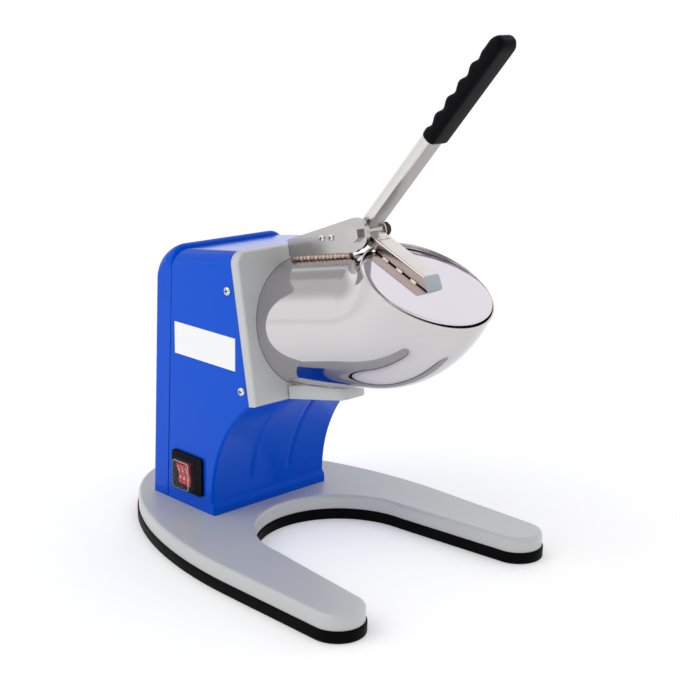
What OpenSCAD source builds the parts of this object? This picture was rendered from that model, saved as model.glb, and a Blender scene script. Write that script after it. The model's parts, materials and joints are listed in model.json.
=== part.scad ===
// Shaved ice machine: a motor drives a disc of blades inside a tilted steel drum, a hand lever
// presses the ice down on the blades, and the snow leaves through a spout under the drum.
// Frame: +X points forward, +Y to the left, +Z up. The origin is on the ground, at the middle
// of the whole machine's box.

/* [Base] */
// Height of the ground plane to the base's top face
base_top = 25; // [20:1:40]
// Height of the black rubber edge
rubber_h = 11; // [8:1:13]
// Half width of the base over its rubber edge
base_half_w = 144; // [130:1:160]
// Length of the round rear part of the base
base_rear_l = 258; // [220:1:280]
// Radius of the round gap between the legs
gap_r = 80.5; // [70:0.5:90]
// Distance from the gap's centre to the centre of a leg's tip
leg_l = 114.5; // [90:0.5:140]
// Radius of a leg's round tip
tip_r = 25.5; // [20:0.5:30]

/* [Housing] */
// Forward position of the housing's foot
house_front = -58; // [-80:0.5:-40]
// Length of the housing along the ground
house_l = 97; // [85:1:110]
// Half width of the housing
house_hw = 73.5; // [70:0.5:80]
// Wall thickness of the blue shells
shell_t = 2.5; // [2:0.1:4]
// Radius of the hollow front face
front_r = 134; // [110:1:160]
// Distance from the housing's foot back to the rear cover's seam
seam_back = 62; // [55:1:70]

/* [Drum and lever] */
// Tilt of the drum's axis, nose up
tilt = 11; // [5:0.5:15]
// Forward distance from the housing's foot to the lever's pivot
pivot_ahead = 127; // [115:1:140]
// Height of the lever's pivot above the ground
pivot_z = 311; // [295:1:325]
// Distance from the pivot down to the drum's axis
axis_drop = 79; // [74:0.5:84]
// Outer radius of the drum
drum_r = 61; // [56:0.5:64]
// Thickness of the drum's steel
drum_t = 1.5; // [1:0.1:2]
// Angle swept by the elbow between the drum and its mouth
elbow_angle = 52; // [40:1:60]
// Distance from the front casting's face to the pivot
face_back = 97; // [90:1:105]
// Angle of the handle above the ground
handle_angle = 49.5; // [40:0.5:60]
// Angle of the pusher arm below the ground's plane
arm_angle = 22.5; // [15:0.5:30]
// Width of the handle's and the arm's steel tube
tube_w = 20; // [16:1:25]
// Depth of the handle's and the arm's steel tube
tube_d = 10; // [8:1:14]

/* [Hidden] */
$fn = 96;

pivot_x = house_front + pivot_ahead;
gap_x = house_front + 100;
drum_in = drum_r - drum_t;
steel = "silver";
blue = "royalblue";
grey = "lightgrey";
eps = 0.01;

// Housing outline
seam_x = house_front - seam_back;
seam_z = 275;
seam_lean = 0.045;
top_slope = 6.5;
edge_r = 12;
rear_lean = 2.7;

// Front casting, measured from the pivot in the tilted frame
plate_t = 10;
plate_top = -5;
plate_bottom = -147;
plate_hw = house_hw - 0.3;

// Motor, measured along the drum's axis from the pivot
shaft_r = 6;
nose_r = 5;
motor_r = 54;
motor_front = -125;
motor_back = -206;
bell_l = 22;
stator_l = 47;
fan_s = -220;

// Switch on the right side
switch_x = house_front - 39;
switch_z = 59.2;
bezel_w = 45.5;
bezel_h = 38.4;
rocker_x = switch_x - 2.7;
rocker_z = switch_z - 1.9;
rocker_tilt = 10;
rocker_pin_r = 1.2;

// ---------- frames ----------
// The tilted frame: X along the drum's axis, origin on the lever's pivot
module tilted() {
    translate([pivot_x, 0, pivot_z]) rotate([0, -tilt, 0]) children();
}

// Children's Z runs along the drum's axis, and their origin lies on it
module on_axis(s) {
    tilted() translate([s, 0, -axis_drop]) rotate([0, 90, 0]) children();
}

// The frame of a bar that leaves the pivot at an angle above the ground
module lever_frame(angle) {
    translate([pivot_x, 0, pivot_z]) rotate([0, -angle, 0]) children();
}

// Turns a cylinder's axis along +Y
module along_y() {
    rotate([-90, 0, 0]) children();
}

module ring(r_out, r_in, h) {
    difference() {
        cylinder(r = r_out, h = h);
        translate([0, 0, -1]) cylinder(r = r_in, h = h + 2);
    }
}

module pan_screw(head_r, head_h, shank_r, shank_l) {
    cylinder(r = shank_r, h = shank_l);
    translate([0, 0, -head_h * 0.5]) cylinder(r = head_r, h = head_h * 0.5);
    translate([0, 0, -head_h]) cylinder(r1 = head_r * 0.7, r2 = head_r, h = head_h * 0.5);
}

// ---------- base ----------
// Outline of the base, drawn in by e on every side
module base_outer(e) {
    rear = [for (a = [90:4:270]) [gap_x + (base_rear_l - e) * cos(a), (base_half_w - e) * sin(a)]];
    polygon(rear);
    translate([gap_x - eps, -(base_half_w - e)]) square([leg_l + eps, 2 * (base_half_w - e)]);
}

module base_gap(e) {
    tip_in = base_half_w - 2 * tip_r + e;
    translate([gap_x, 0]) circle(r = gap_r + e);
    polygon([[gap_x, -(gap_r + e)], [gap_x + leg_l, -tip_in], [gap_x + leg_l + 1, -tip_in],
        [gap_x + leg_l + 1, tip_in], [gap_x + leg_l, tip_in], [gap_x, gap_r + e]]);
}

module base_outline(e) {
    difference() {
        base_outer(e);
        base_gap(e);
    }
    for (side = [-1, 1]) translate([gap_x + leg_l, side * (base_half_w - tip_r)])
        circle(r = tip_r - e);
}

module base_layer(z0, z1, e) {
    translate([0, 0, z0]) linear_extrude(z1 - z0) base_outline(e);
}

foot_spots = [for (x = [-80, -16], y = [-52, 52]) [house_front + x, y]];

module foot_holes() {
    for (p = foot_spots) translate([p[0], p[1], 0]) cylinder(r = 2.6, h = 60);
}

module base_casting() color(grey) difference() {
    union() {
        base_layer(5, base_top - 3, 1.4);
        base_layer(base_top - 3, base_top - 1.2, 2);
        base_layer(base_top - 1.2, base_top, 3.4);
    }
    base_layer(4, base_top - 6, 6.5);
    foot_holes();
}

module base_rubber_edge() color("black") difference() {
    base_layer(0, rubber_h, 0);
    base_layer(-1, rubber_h + 1, 8.5);
    difference() {
        base_layer(5, rubber_h + 1, 1.4);
        base_layer(4, rubber_h + 2, 6.5);
    }
}

module base_screws() color(steel) for (p = foot_spots)
    translate([p[0], p[1], base_top - 6]) pan_screw(4.5, 3, 2.5, 14);

// ---------- housing ----------
// Side view of the housing, its walls drawn in by e
function front_arc(e) = [for (a = [0:4.5:54])
    [house_front + front_r - 3.5 - (front_r + e) * cos(a), 38 + (front_r + e) * sin(a)]];

// The seam leans back towards its foot, like the wall behind it
function seam_at(z) = seam_x - (seam_z - z) * seam_lean;

module shell_side_view(e) {
    past = e > 0 ? 1 : 0;
    face_x = pivot_x - (face_back + plate_t + e) * cos(tilt);
    face_z = pivot_z - (face_back + plate_t + e) * sin(tilt);
    arc = front_arc(e);
    last = arc[len(arc) - 1];
    low = axis_drop + drum_r + 7.5 - e;
    high = -plate_top + e;
    polygon(concat([[house_front - e, base_top], [house_front - e, 33]], arc,
        [[face_x + low * sin(tilt), face_z - low * cos(tilt)],
        [face_x + high * sin(tilt), face_z - high * cos(tilt)],
        [seam_at(seam_z - e) - past, seam_z - e], [seam_at(base_top) - past, base_top]]));
}

// Cross-section with round upper corners, hung from its top edge
module top_section(e, r) {
    w = house_hw - e;
    translate([-w, -320]) square([2 * w, 320 - r - e]);
    translate([-w + r, -r - e - eps]) square([2 * (w - r), r + eps]);
    for (side = [-1, 1]) translate([side * (w - r), -r - e]) circle(r = r);
}

module shell_solid(e) intersection() {
    rotate([90, 0, 0]) linear_extrude(2 * house_hw, center = true) shell_side_view(e);
    translate([seam_x, 0, seam_z]) rotate([0, -top_slope, 0]) rotate([90, 0, 90])
        linear_extrude(500, center = true) top_section(e, edge_r - e);
}

side_screw_spots = [[house_front + 21, 249.7], [house_front + 40.6, 159]];

// Children at every side screw, their Z pointing into the housing
module at_side_screws() {
    for (p = side_screw_spots, side = [-1, 1])
        translate([p[0], side * house_hw, p[1]]) rotate([side * 90, 0, 0]) children();
}

cover_screw_spots = [for (z = [95, 215], y = [-60, 60]) [y, z]];

module housing_shell() color(blue) difference() {
    union() {
        difference() {
            shell_solid(0);
            difference() {
                shell_solid(shell_t);
                translate([house_front - 200, -200, base_top - 1]) cube([300, 400, 1 + shell_t]);
            }
        }
        // Blocks the rear cover is screwed to
        for (p = cover_screw_spots)
            translate([seam_at(p[1]) + 0.4, p[0] < 0 ? -house_hw + 1 : 54, p[1] - 6])
                cube([12, house_hw - 55, 12]);
    }
    // Opening behind the front casting
    tilted() translate([-face_back - plate_t - 9, -house_hw + shell_t, -141])
        cube([12, 2 * (house_hw - shell_t), 128]);
    foot_holes();
    translate([rocker_x - 14, -house_hw - 1, rocker_z - 15]) cube([28, shell_t + 2, 30]);
    at_side_screws() translate([0, 0, -1]) cylinder(r = 2.1, h = 8);
    for (p = cover_screw_spots) translate([seam_at(p[1]) - 1, p[0], p[1]]) rotate([0, 90, 0])
        cylinder(r = 2.05, h = 20);
}

// The rear cover: a rolled front lip, a round top and a leaning back
module cover_side_view(e) {
    r = 34 - e;
    cz = 246.5;
    cx = house_front - 87 + 34;
    arc_pts = [for (a = [108:6:180]) [cx + r * cos(a), cz + r * sin(a)]];
    low_x = house_front - house_l + e;
    past = e > 0 ? 1 : 0;
    polygon(concat([[seam_at(base_top) + past, base_top], [seam_at(seam_z - 4) + past, seam_z - 4],
        [seam_x + past, seam_z + 1 - e], [seam_x - 1, seam_z + 3.2 - e]],
        arc_pts, [[low_x, base_top]]));
}

module cover_solid(e) intersection() {
    rotate([90, 0, 0]) linear_extrude(2 * (house_hw - e), center = true) cover_side_view(e);
    translate([seam_x, 0, 280.5]) rotate([90, 0, 90])
        linear_extrude(200, center = true) top_section(e, 20 - e);
    translate([0, 0, base_top + (e > 0 ? shell_t : 0)]) linear_extrude(300) {
        translate([house_front - house_l + 4 + e, -(house_hw - e)])
            square([80, 2 * (house_hw - e)]);
        translate([house_front - house_l + e, -(house_hw - 4 - e)])
            square([20, 2 * (house_hw - 4 - e)]);
        for (side = [-1, 1])
            translate([house_front - house_l + 4 + e, side * (house_hw - 4 - e)]) circle(r = 4);
    }
}

gland_y = -30;
gland_z = 52;

// Where the leaning back wall stands at a given height
function back_x(z) = house_front - house_l + (z - base_top) * 10 / 221.5;

module rear_cover() color(blue) difference() {
    cover_solid(0);
    difference() {
        cover_solid(shell_t);
        // Posts for the cover's screws
        for (p = cover_screw_spots) translate([back_x(p[1]) - 5, p[0], p[1]]) rotate([0, 90, 0])
            cylinder(r = 5, h = 60);
    }
    for (p = cover_screw_spots) translate([back_x(p[1]) - 5, p[0], p[1]]) rotate([0, 90, 0])
        cylinder(r = 2.1, h = 60);
    translate([back_x(gland_z) - 6, gland_y, gland_z]) rotate([0, 90, 0]) cylinder(r = 8, h = 20);
    foot_holes();
    // Air slots for the motor's fan
    for (i = [0:8]) translate([back_x(200) - 10, -30, 152 + i * 8.5]) cube([20, 60, 4]);
}

module rear_cover_screws() color(steel) for (p = cover_screw_spots)
    translate([back_x(p[1]) - 0.2, p[0], p[1]]) rotate([0, 90, 0])
        pan_screw(3.8, 2.6, 2, seam_at(p[1]) + 10 - back_x(p[1]));

module housing_side_screws() color(steel) at_side_screws() pan_screw(4.2, 2.8, 2, 9);

module blank_label() color("white")
    translate([house_front - 58, -house_hw - 0.3, 176]) cube([89, 0.3, 31]);

// ---------- front casting ----------
chute_back = face_back;
chute_front = 44;
chute_root_hw = 33;
chute_nose_hw = 15.5;
chute_top = -134.5;
chute_bottom = -150;

module plate_outline() {
    r = 12;
    translate([-plate_hw, plate_bottom]) square([2 * plate_hw, plate_top - r - plate_bottom]);
    translate([-plate_hw + r, plate_top - r - eps]) square([2 * (plate_hw - r), r + eps]);
    for (side = [-1, 1]) translate([side * (plate_hw - r), plate_top - r]) circle(r = r);
}

// Plan of the spout, its walls drawn in by e
module chute_plan(e) {
    r = 5;
    y_nose = chute_nose_hw - e;
    polygon([[-chute_back - 1, -(chute_root_hw - e)], [-chute_front - r, -y_nose],
        [-chute_front - e, -(y_nose - r)], [-chute_front - e, y_nose - r],
        [-chute_front - r, y_nose], [-chute_back - 1, chute_root_hw - e]]);
}

module front_casting() color(grey) difference() {
    union() {
        tilted() translate([-face_back - plate_t, 0, 0]) rotate([90, 0, 90])
            linear_extrude(plate_t) plate_outline();
        tilted() translate([0, 0, chute_bottom]) linear_extrude(chute_top - chute_bottom)
            chute_plan(0);
        // Motor spigot behind the plate
        on_axis(motor_front) ring(57, 46, -face_back - plate_t - motor_front + 1);
        on_axis(motor_front + 4) ring(24, 13, -face_back - plate_t - motor_front - 3);
        for (a = [0:60:300]) on_axis(motor_front) rotate([0, 0, a])
            translate([22, -2.5, 5]) cube([26, 5, -face_back - plate_t - motor_front - 4]);
        // Lugs for the side screws
        for (side = [-1, 1]) tilted()
            translate([-face_back - plate_t - 20, side * 64 - 6.8, -140]) cube([21, 13.6, 118]);
    }
    on_axis(-face_back - 3) cylinder(r = drum_r + 0.1, h = 70);
    on_axis(-face_back - 20) cylinder(r = 14, h = 30);
    tilted() translate([0, 0, chute_bottom - 1]) linear_extrude(chute_top - chute_bottom + 12)
        chute_plan(3.2);
    at_side_screws() cylinder(r = 2.05, h = 13);
    for (a = hopper_screw_angles) on_axis(-face_back - 11) rotate([0, 0, a])
        translate([54.5, 0, 0]) cylinder(r = 2.05, h = 12);
    on_axis(motor_front) for (a = [45:90:315]) rotate([0, 0, a]) translate([tie_r, 0, -1])
        cylinder(r = 2.1, h = 9);
}

module shaft_seal() color("dimgrey") on_axis(-face_back - plate_t) ring(14, shaft_r + 0.3, 7);

// ---------- hopper ----------
hopper_screw_angles = [45, 135, 225, 315];

// Bent tube between the drum and its mouth
module elbow() {
    rotate([90, 0, 0]) rotate([0, 0, -90]) rotate_extrude(angle = elbow_angle)
        translate([axis_drop, 0]) difference() {
            circle(r = drum_r);
            circle(r = drum_in);
        }
}

module mouth_frame() {
    tilted() rotate([0, -elbow_angle, 0]) translate([0, 0, -axis_drop]) rotate([0, 90, 0]) children();
}

module hopper() color(steel) {
    difference() {
        union() {
            on_axis(-face_back - 3) ring(drum_r, drum_in, face_back + 3);
            on_axis(-face_back - 3) ring(drum_in + eps, 50, drum_t);
            tilted() elbow();
            mouth_frame() translate([0, 0, -1.6]) ring(drum_r + 0.8, drum_r - eps, 1.6);
        }
        for (a = hopper_screw_angles) on_axis(-face_back - 4) rotate([0, 0, a])
            translate([54.5, 0, 0]) cylinder(r = 2.1, h = 6);
        // Slot for the pusher arm at the inside of the bend
        tilted() translate([-9, -13, -34]) cube([60, 26, 34]);
        // Way out for the snow
        tilted() translate([-face_back + 3, -22, -axis_drop - drum_r - 2]) cube([46, 44, 22]);
    }
}

module hopper_screws() color(steel) for (a = hopper_screw_angles)
    on_axis(-face_back - 1.5) rotate([0, 0, a]) translate([54.5, 0, 0]) mirror([0, 0, 1])
        pan_screw(3.8, 2.4, 2, 8);

// ---------- pivot ----------
ear_y0 = -17.5;
ear_y1 = -13.5;
ear_r = 14;
switch_screw_s = [-43, -31.2];
switch_screw_h = -1.8;

module lever_bracket() color(steel) tilted() difference() {
    translate([0, ear_y1, 0]) rotate([90, 0, 0]) linear_extrude(ear_y1 - ear_y0) difference() {
        union() {
            circle(r = ear_r);
            polygon([[-90, -1], [-2.3, ear_r - 0.2], [6, 0], [2, -ear_r + 0.5], [-3, -16.2], [-90, -16.2]]);
        }
        circle(r = 4.05);
        for (x = switch_screw_s) translate([x, switch_screw_h]) circle(r = 1.6);
    }
}

module bracket_weld() color("darkgrey") difference() {
    tilted() translate([-89, ear_y0 - 1.6, -26]) cube([79, ear_y1 - ear_y0 + 3.2, 9.8]);
    on_axis(-face_back - 4) cylinder(r = drum_r, h = 120);
}

module safety_switch() color("black") tilted() translate([-48, ear_y1, -10]) difference() {
    cube([22, 6.4, 12]);
    for (x = switch_screw_s) translate([x + 48, -1, switch_screw_h + 10]) along_y()
        cylinder(r = 1.6, h = 9);
    translate([16.5, 1.7, 2]) cube([6.2, 3, 2.6]);
}

module safety_switch_button() color("red")
    tilted() translate([-30.1, ear_y1 + 1.9, -7.8]) cube([5.4, 2.6, 2.2]);

module safety_switch_screws() color(steel) for (x = switch_screw_s)
    tilted() translate([x, ear_y0, switch_screw_h]) along_y() pan_screw(3.3, 1.8, 1.5, 12);

module pivot_bolt() color(steel) tilted() {
    translate([0, ear_y0 - 4.5, 0]) along_y() rotate([0, 0, 30]) cylinder(r = 7.5, h = 4.5, $fn = 6);
    translate([0, ear_y0, 0]) along_y() cylinder(r = 4, h = 40);
}

module pivot_washers() color(steel) tilted() {
    translate([0, ear_y1, 0]) along_y() ring(8, 4.05, 1.2);
    translate([0, 12.3, 0]) along_y() ring(8, 4.05, 1.2);
}

module pivot_nut() color("dimgrey") tilted() translate([0, 13.5, 0]) along_y() difference() {
    union() {
        cylinder(r = 7.5, h = 6, $fn = 6);
        cylinder(r = 5.8, h = 8);
    }
    translate([0, 0, -1]) cylinder(r = 4, h = 10);
}

// ---------- lever ----------
sleeve_r = 6;
bar_rear = 8.7;
arm_top = 3.4;
arm_bottom = arm_top - tube_d;
arm_l = 78;
grip_start = 114;
grip_end = 225;
plate_r = 58.8;

module pivot_sleeve() color(steel) translate([pivot_x, -12, pivot_z]) along_y() ring(sleeve_r, 4.05, 24);

// A rectangular tube along X, its lower face at z0
module tube(l0, l1, z0, wall) {
    difference() {
        translate([l0, -tube_w / 2, z0]) cube([l1 - l0, tube_w, tube_d]);
        translate([l0 - 1, -tube_w / 2 + wall, z0 + wall])
            cube([l1 - l0 + 2, tube_w - 2 * wall, tube_d - 2 * wall]);
    }
}

module sleeve_hole() {
    translate([pivot_x, -40, pivot_z]) along_y() cylinder(r = sleeve_r, h = 80);
}

module handle_bar() color(steel) difference() {
    lever_frame(handle_angle) tube(-6, 200, bar_rear - tube_d, 1.5);
    lever_frame(-arm_angle) translate([-60, -20, arm_top - 60]) cube([160, 40, 60]);
    sleeve_hole();
}

module pusher_arm() color(steel) difference() {
    lever_frame(-arm_angle) tube(-9, arm_l + 12, arm_bottom, 1.5);
    lever_frame(-arm_angle) translate([arm_l, -20, arm_top]) rotate([0, 45, 0])
        translate([0, 0, -40]) cube([60, 40, 60]);
    sleeve_hole();
}

module arm_end_cap() color("slategrey") intersection() {
    lever_frame(-arm_angle) translate([0, -tube_w / 2, arm_bottom]) cube([120, tube_w, tube_d]);
    lever_frame(-arm_angle) translate([arm_l, -20, arm_top]) rotate([0, 45, 0])
        translate([0, 0, -40]) cube([2, 40, 60]);
}

module pusher_plate() color(steel) lever_frame(-arm_angle)
    translate([axis_drop - 0.8, 0, arm_bottom - 2]) cylinder(r = plate_r, h = 2);

// Grip: round end and finger waves along its upper side
module grip_side_view() {
    front = -4.5;
    rear = 7.5;
    difference() {
        union() {
            translate([grip_start, front]) square([grip_end - grip_start - 7, rear - front]);
            translate([grip_end - 7, front + 7]) circle(r = 7);
            translate([grip_end - 20, front + 7]) square([13, 7]);
            for (i = [0:4]) translate([grip_start + 5 + i * 18.3, rear - 5.5]) circle(r = 8.5);
        }
        translate([grip_start - 60, -60]) square([60, 120]);
        translate([grip_start - 60, front - 60]) square([200, 60]);
    }
}

module handle_grip() color("black") lever_frame(handle_angle) difference() {
    rotate([90, 0, 0]) linear_extrude(24, center = true) grip_side_view();
    translate([grip_start - 1, -tube_w / 2, bar_rear - tube_d]) cube([201 - grip_start, tube_w, tube_d]);
}

module lever_welds() color("darkgrey") difference() {
    lever_frame(-arm_angle) union() {
        for (x = [30, 48, 66], side = [-1, 1])
            translate([x, side * tube_w / 2, arm_bottom]) rotate([0, 90, 0]) cylinder(r = 2, h = 7);
    }
    lever_frame(-arm_angle) translate([-20, -tube_w / 2, arm_bottom]) cube([140, tube_w, tube_d]);
    lever_frame(-arm_angle) translate([axis_drop - 0.8, 0, arm_bottom - 4]) cylinder(r = plate_r + 3, h = 4);
}

// ---------- motor ----------
tie_r = 50;

module tie_holes() {
    for (a = [45:90:315]) rotate([0, 0, a]) translate([tie_r, 0, -5]) cylinder(r = 2.1, h = 70);
}

module motor_front_bell() color("silver") on_axis(motor_front) difference() {
    union() {
        translate([0, 0, -12]) cylinder(r = motor_r, h = 12);
        translate([0, 0, -4]) cylinder(r = 45.8, h = 8);
    }
    translate([0, 0, -13]) cylinder(r = 44, h = 9);
    translate([0, 0, -5]) cylinder(r = 16, h = 12);
    translate([0, 0, -30]) tie_holes();
}

module motor_rear_bell() color("silver") on_axis(motor_back) difference() {
    cylinder(r = motor_r, h = bell_l);
    translate([0, 0, 5]) cylinder(r = 44, h = bell_l);
    translate([0, 0, -1]) cylinder(r = 16, h = 8);
    for (a = [0:60:300]) rotate([0, 0, a]) translate([30, 0, -1]) cylinder(r = 7, h = 8);
    tie_holes();
}

module motor_stator() color("slategrey") on_axis(motor_back + bell_l) difference() {
    cylinder(r = motor_r, h = stator_l);
    translate([0, 0, -1]) cylinder(r = 28.5, h = stator_l + 2);
    for (a = [0:30:330]) rotate([0, 0, a]) translate([37, 0, -1]) cylinder(r = 4.5, h = stator_l + 2);
    tie_holes();
}

module stator_windings() color("peru") on_axis(motor_back + bell_l) {
    translate([0, 0, -10]) ring(42.5, 31, 10);
    translate([0, 0, stator_l]) ring(42.5, 31, 7.5);
    for (a = [0:30:330]) rotate([0, 0, a]) translate([37, 0, -1]) cylinder(r = 4.2, h = stator_l + 2);
}

module motor_tie_bolts() color(steel) on_axis(motor_back) for (a = [45:90:315])
    rotate([0, 0, a]) translate([tie_r, 0, 0]) {
        translate([0, 0, -3]) cylinder(r = 3.8, h = 3);
        cylinder(r = 2, h = 88);
    }

// A sealed bearing; the shaft runs in its bore
module bearing() {
    ring(16, shaft_r + 0.05, 9);
}

module front_bearing() color(steel) on_axis(motor_front - 5) bearing();
module rear_bearing() color(steel) on_axis(motor_back - 1) bearing();

module rotor_core() color("grey") on_axis(motor_back + bell_l) ring(28, shaft_r, stator_l);

module rotor_shaft() color(steel) {
    on_axis(fan_s - 2) cylinder(r = shaft_r, h = -60 - fan_s + 2);
    on_axis(-60 - eps) cylinder(r = nose_r, h = 53 + eps);
}

module cooling_fan() color("black") on_axis(fan_s) {
    ring(12, shaft_r, 8);
    difference() {
        for (a = [0:45:315]) rotate([0, 0, a]) rotate([28, 0, 0]) translate([8, -1, -1])
            cube([24, 2, 10]);
        translate([0, 0, -10]) cylinder(r = 11.9, h = 30);
        translate([0, 0, -30]) cylinder(r = 60, h = 30);
        translate([0, 0, 8]) cylinder(r = 60, h = 30);
    }
}

// ---------- blades ----------
disc_s = -22;
disc_t = 4;
blade_angles = [0, 120, 240];

module blade_disc() color(steel) on_axis(disc_s) difference() {
    union() {
        cylinder(r = 57, h = disc_t);
        translate([0, 0, -20]) cylinder(r = 12, h = 20);
    }
    translate([0, 0, -21]) cylinder(r = nose_r, h = 40);
    for (a = blade_angles) rotate([0, 0, a]) {
        translate([15, -9, -1]) cube([36, 7, disc_t + 2]);
        for (x = [24, 42]) translate([x, 6, -1]) cylinder(r = 1.6, h = disc_t + 2);
    }
}

module ice_blades() color("gainsboro") on_axis(disc_s + disc_t) for (a = blade_angles)
    rotate([0, 0, a]) difference() {
        union() {
            translate([14, -2, 0]) cube([38, 12, 1.5]);
            translate([14, -3.5, 0]) rotate([12, 0, 0]) cube([38, 3, 1.2]);
        }
        for (x = [24, 42]) translate([x, 6, -1]) cylinder(r = 1.6, h = 4);
        translate([0, -20, -5]) cube([60, 40, 5]);
    }

module blade_screws() color(steel) on_axis(disc_s + disc_t + 1.5) for (a = blade_angles, x = [24, 42])
    rotate([0, 0, a]) translate([x, 6, 0]) mirror([0, 0, 1]) pan_screw(3, 1.8, 1.6, 5.5);

module disc_nut() color(steel) on_axis(disc_s + disc_t) difference() {
    union() {
        cylinder(r = 9, h = 7, $fn = 6);
        cylinder(r = 7, h = 12);
    }
    translate([0, 0, -1]) cylinder(r = nose_r, h = 12);
}

// ---------- electrical parts ----------
module run_capacitor() color("white") translate([house_front - 30, 30, base_top + shell_t])
    cylinder(r = 17, h = 68);

module capacitor_clamp() color(steel) translate([house_front - 30, 30, base_top + shell_t]) {
    translate([0, 0, 30]) ring(18.5, 17, 12);
    translate([17.2, -6, 0]) cube([1.3, 12, 42]);
    translate([17.2, -6, 0]) cube([8, 12, 1.3]);
}

module terminal_block() color("ivory") translate([house_front - 58, -36, base_top + shell_t]) difference() {
    cube([20, 42, 16]);
    for (y = [7:9.4:36], x = [5, 15]) translate([x, y, 9]) cylinder(r = 2.6, h = 8);
}

module cord_gland() color("black") translate([back_x(gland_z) - 0.6, gland_y, gland_z])
    rotate([0, 90, 0]) difference() {
        union() {
            translate([0, 0, -4]) cylinder(r = 10.5, h = 4);
            translate([0, 0, -4]) cylinder(r = 7.7, h = 14);
            translate([0, 0, 4]) cylinder(r = 10, h = 4);
        }
        translate([0, 0, -6]) cylinder(r = 4, h = 24);
    }

module bezel_plate(w, h, r, t) {
    rotate([90, 0, 0]) linear_extrude(t) {
        square([w - 2 * r, h], center = true);
        square([w, h - 2 * r], center = true);
        for (x = [-1, 1], y = [-1, 1]) translate([x * (w / 2 - r), y * (h / 2 - r)]) circle(r = r);
    }
}

module switch_housing() color("black") {
    translate([rocker_x - 10, -house_hw, rocker_z]) rotate([0, 90, 0]) cylinder(r = rocker_pin_r, h = 20);
    switch_body();
}

module switch_body() translate([switch_x, -house_hw, switch_z]) difference() {
    union() {
        bezel_plate(bezel_w, bezel_h, 3, 3);
        translate([rocker_x - switch_x, 0, rocker_z - switch_z]) {
            translate([-13.8, -1, -14.8]) cube([27.6, 25, 29.6]);
            for (x = [-7, 7], z = [-8, 0, 8]) translate([x - 2.4, 23, z - 0.4])
                cube([4.8, 9, 0.8]);
        }
    }
    translate([rocker_x - switch_x - 9.5, -4, rocker_z - switch_z - 12.5]) cube([19, 18, 25]);
}

module switch_rocker() color("red") translate([rocker_x, -house_hw, rocker_z])
    rotate([rocker_tilt, 0, 0]) difference() {
        translate([-9, -4.6, -11]) cube([18, 9.6, 22]);
        translate([-10, -23.5, 0]) rotate([0, 90, 0]) cylinder(r = 20, h = 20);
        translate([-10, 0, 0]) rotate([0, 90, 0]) cylinder(r = rocker_pin_r + 0.05, h = 20);
    }

module switch_boot() color("aliceblue", 0.5) translate([rocker_x, -house_hw - 3, rocker_z]) difference() {
    translate([-13, -5.7, -14.7]) cube([26, 5.7, 29.4]);
    translate([-11.8, -4.5, -13.5]) cube([23.6, 6, 27]);
}

base_casting();
base_rubber_edge();
base_screws();
housing_shell();
rear_cover();
rear_cover_screws();
housing_side_screws();
front_casting();
hopper();
hopper_screws();
shaft_seal();
lever_bracket();
bracket_weld();
safety_switch();
safety_switch_button();
safety_switch_screws();
pivot_bolt();
pivot_washers();
pivot_nut();
pivot_sleeve();
handle_bar();
handle_grip();
pusher_arm();
arm_end_cap();
pusher_plate();
lever_welds();
motor_front_bell();
motor_rear_bell();
motor_stator();
stator_windings();
motor_tie_bolts();
front_bearing();
rear_bearing();
rotor_core();
rotor_shaft();
cooling_fan();
blade_disc();
ice_blades();
blade_screws();
disc_nut();
run_capacitor();
capacitor_clamp();
terminal_block();
cord_gland();
switch_housing();
switch_rocker();
switch_boot();
blank_label();
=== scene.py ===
import json
import math

import bmesh
import bpy
from mathutils import Matrix, Vector


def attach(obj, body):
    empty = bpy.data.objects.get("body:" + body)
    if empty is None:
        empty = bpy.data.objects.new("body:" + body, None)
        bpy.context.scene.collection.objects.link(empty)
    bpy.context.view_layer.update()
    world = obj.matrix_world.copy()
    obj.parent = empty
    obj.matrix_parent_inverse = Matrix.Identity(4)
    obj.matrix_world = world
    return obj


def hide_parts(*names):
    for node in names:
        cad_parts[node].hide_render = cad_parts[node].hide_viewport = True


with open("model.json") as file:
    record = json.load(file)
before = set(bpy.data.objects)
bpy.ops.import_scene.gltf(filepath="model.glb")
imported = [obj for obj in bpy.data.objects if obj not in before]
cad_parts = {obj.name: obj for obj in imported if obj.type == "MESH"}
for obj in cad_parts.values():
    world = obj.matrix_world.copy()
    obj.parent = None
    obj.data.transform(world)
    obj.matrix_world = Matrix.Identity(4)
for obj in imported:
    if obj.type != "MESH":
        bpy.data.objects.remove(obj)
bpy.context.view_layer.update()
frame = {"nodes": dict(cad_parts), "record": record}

# Lengths are in millimetres and angles in degrees, unless a comment says otherwise
MM = 0.001
HW = 73.5  # half the housing's width
FRONT = -58.0  # x of the housing's foot
BASE_TOP = 25.0
SEAM = -120.0  # x of the top of the seam between housing and cover
SEAM_TOP = 275  # z of the same place
SEAM_LEAN = 0.045
SEAM_GAP = 0.25  # half the seam's width
TOP_SLOPE = 0.126
BACK_FOOT = -155  # x of the back wall at the base
BACK_LEAN = 10 / 221.5
TILT = math.radians(11)  # of the drum's axis, in radians
PIVOT = (69.0, 311.0)  # x and z of the lever's bolt
DROP = 79.0  # from the bolt down to the drum's axis
DRUM_R = 61.0
DRUM_WALL = 1.5
DRUM_BEND = 52
CAST_BACK = 107  # from the bolt back to the plane behind the casting
CAST_FACE = -97
CAST_SEAT = -100
CAST_HOLE_R = 61.3
TUBE_W = 20
TUBE_H = 10
TUBE_WALL = 1.5
HANDLE_ANGLE = 49.5
ARM_ANGLE = -22.5
ARM_LOW = -6.6
ARM_TOP = 3.4
ARM_END = 78.0
GAP_X = 42.0  # x of the centre of the base's gap
GAP_R = 80.5
BASE_REACH = 258
BASE_HALF = 144
TIP_X = 114.5
TIP_Y = 118.5
TIP_R = 25.5
BOOT_FOOT = 3  # the boot's foot, out from the housing's side
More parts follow.
